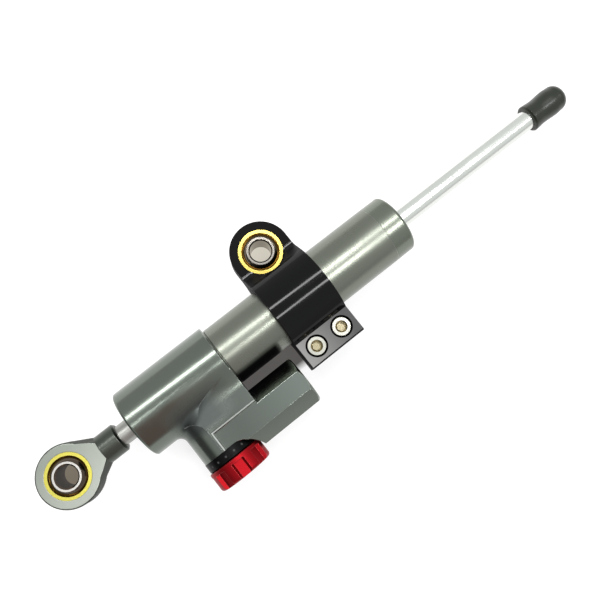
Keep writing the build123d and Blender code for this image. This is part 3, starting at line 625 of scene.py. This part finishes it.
METALS = {
    "tube_metal": {
        "colour": (0.20, 0.212, 0.180), "roughness": 0.29, "grain": ROUND_X, "edges": 0.3,
        # The tube's side in the slot is painted nearly black as shade
        "zones": ((slot_side_painted_shade, (0.006, 0.006, 0.006), 0.8),),
    },
    "end_cap_metal": {"colour": (0.195, 0.212, 0.177), "roughness": 0.24, "grain": ROUND_X, "edges": 0.3},
    "block_metal": {
        "colour": (0.158, 0.178, 0.154), "roughness": 0.18, "edges": 0.8, "matt": milled_wall,
        "zones": (
            # The milled flats carry painted shade that lightens towards the reservoir's free end
            (block_flat, block_flat_painted_shade, 0.11),
            (run_out, (0.078, 0.088, 0.083), 0.36),
            # The reservoir's side is painted darker next to the collar and down in the slot, as shade
            (reservoir_side, reservoir_side_painted_shade, 0.4),
            # The pocket walls' light grey is bright-cut metal and a painted highlight line
            (pocket_wall, (0.45, 0.47, 0.45), 0.5),
        ),
    },
    "rod_end_metal": {
        "colour": (0.085, 0.093, 0.08), "roughness": 0.31, "edges": 0.3, "matt": eye_wall,
        # The eye's milled faces are lighter metal with painted shade towards +Y
        "zones": ((eye_face, eye_face_painted_shade, 0.38), (eye_wall, (0.05, 0.055, 0.046), 0.8)),
    },
    # The race's faces other than its level ones are painted dark brown as shade
    "race_brass": {
        "colour": (0.24, 0.14, 0.03), "roughness": 0.2,
        "zones": ((level_face, (0.70, 0.63, 0.12), 0.28),),
    },
    # The race's faces other than its level ones are painted dark brown as shade
    "race_gold": {
        "colour": (0.30, 0.17, 0.03), "roughness": 0.2,
        "zones": ((level_face, (0.42, 0.33, 0.08), 0.2),),
    },
    # The ball's round face is painted dark brown and its bore darker still, as shade; its level faces keep
    # the steel's colour
    "ball_steel": {
        "colour": (0.11, 0.085, 0.065), "roughness": 0.15, "matt": side_wall,
        "zones": ((level_face, (0.8, 0.76, 0.72), 0.2), (side_wall, (0.045, 0.035, 0.026), 0.6)),
    },
    # The clamp's ball: its round face is painted dark brown as shade, its level faces a darker steel than
    # the rod end's ball
    "clamp_ball_steel": {
        "colour": (0.16, 0.13, 0.10), "roughness": 0.15,
        "zones": ((level_face, (0.42, 0.39, 0.35), 0.1),),
    },
    "rod_chrome": {
        "colour": (0.80, 0.82, 0.78), "roughness": 0.2, "grain": ROUND_X,
        "zones": ((short_rod, (0.34, 0.34, 0.32), 0.38),),
    },
    "screw_steel": {
        "colour": (0.66, 0.65, 0.58), "roughness": 0.18,
        "zones": ((screw_mouth, (0.42, 0.37, 0.24), 0.2),),
    },
    "inner_steel": {"colour": (0.55, 0.55, 0.55), "roughness": 0.3},
    "inner_aluminium": {"colour": (0.7, 0.7, 0.7), "roughness": 0.3},
    "valve_brass": {"colour": (0.75, 0.55, 0.2), "roughness": 0.3},
    "bush_bronze": {"colour": (0.6, 0.36, 0.16), "roughness": 0.3},
    # The knob's lighter red edges are a painted highlight
    "knob_red": {"colour": (0.30, 0.008, 0.012), "roughness": 0.44, "edges": 1.0, "edge_colour": RED_EDGE_HIGHLIGHT},
}
COATINGS = {
    "clamp_black": {
        "colour": (0.0015, 0.0015, 0.0015), "roughness": 0.09, "spread": 0.02, "specular": 0.2,
        "zones": (
            (lug_face, (0.003, 0.0025, 0.0025), 0.8),
            # The ear faces are painted light grey as reflected light, fading away from the head
            (ear_face, ear_face_painted_light, 0.45),
            # The lug's crease is painted light grey as a highlight
            (lug_crease_highlight, (0.30, 0.30, 0.30), 0.4),
            (lug_root, (0.003, 0.003, 0.003), 0.35),
            (side_wall, (0.004, 0.004, 0.004), 0.7),
        ),
    },
    "dial_black": {
        "colour": (0.002, 0.002, 0.002), "roughness": 0.3, "spread": 0.02, "specular": 0.1,
        "zones": ((dial_dots, (0.06, 0.06, 0.06), 0.4),),
    },
    "cap_rubber": {"colour": (0.012, 0.016, 0.008), "roughness": 0.28},
    "seal_rubber": {"colour": (0.02, 0.02, 0.02), "roughness": 0.5},
    "band_plastic": {"colour": (0.2, 0.28, 0.24), "roughness": 0.5},
}

# Nodes with another finish than their record's material slot names
NODE_FINISHES = {
    "dial_ring": "dial_black",
    "end_cap": "end_cap_metal",
    "clamp_race": "race_gold",
    "clamp_ball": "clamp_ball_steel",
}


def dress_nodes():
    """Every node gets the finish of its slot or its own."""
    finishes = {name: metal(name, **look) for name, look in METALS.items()}
    for name, look in COATINGS.items():
        finishes[name] = coated(name, **look)
    for part in frame["record"]["subparts"]:
        mesh = frame["nodes"][part["node"]].data
        mesh.materials.clear()
        mesh.materials.append(finishes[NODE_FINISHES.get(part["node"], part["material_slot"])])


def shade_strip_mask(shader, strip):
    """Upright rectangle of painted shade on the sheet, in the place of a node."""
    sides = zip(shader.seen_from(strip["node"]), strip["middle"], strip["half"])
    blur = strip["blur"] * MM
    return shader.every(*[shader.below(shader.distance(axis, middle * MM), half * MM, blur)
                          for axis, middle, half in sides])


def shade_spot_mask(shader, spot):
    """Round spot of painted shade on the sheet, in the place of a node."""
    x, y = shader.seen_from(spot["node"])
    middle_x, middle_y = spot["middle"]
    across = shader.math("SUBTRACT", x, middle_x * MM)
    along = shader.math("SUBTRACT", y, middle_y * MM)
    return shader.below(shader.length(across, along), spot["radius"] * MM, spot["blur"] * MM)


def add_floor():
    """Pale sheet under the damper, which lies on its clamp."""
    bpy.ops.mesh.primitive_plane_add(size=FLOOR_SIZE, location=(0, 0, cad_low.z - FLOOR_GAP))
    floor = bpy.context.object
    floor.name = "floor"
    shader = Shader("paper", specular=0.0)
    shader.bump(shader.noise(FLOOR_GRAIN_SCALE), FLOOR_GRAIN_DEPTH)
    # The sheet's tone is darkened by the painted shade of the strips and spots
    tone = FULL
    for strip in SHADE_STRIPS:
        tone = shader.mix(shade_strip_mask(shader, strip), tone, STRIP_SHADE_TONE)
    for spot in SHADE_SPOTS:
        tone = shader.mix(shade_spot_mask(shader, spot), tone, spot["tone"])
    glow = shader.ramp(shader.y, FLOOR_GLOW_FRONT, FLOOR_GLOW_BACK, *FLOOR_GLOW_TURN)
    shader.set("Roughness", FLOOR_ROUGHNESS)
    shader.set("Base Color", shader.product(tone, FLOOR_ALBEDO))
    shader.set("Emission Color", tone)
    shader.set("Emission Strength", glow)
    floor.data.materials.append(shader.material)


bpy.context.scene.view_settings.view_transform = "Standard"
add_camera()
for lamp_number, lamp in enumerate(LAMPS):
    add_lamp(lamp_number, **lamp)
add_world()
add_floor()
dress_nodes()
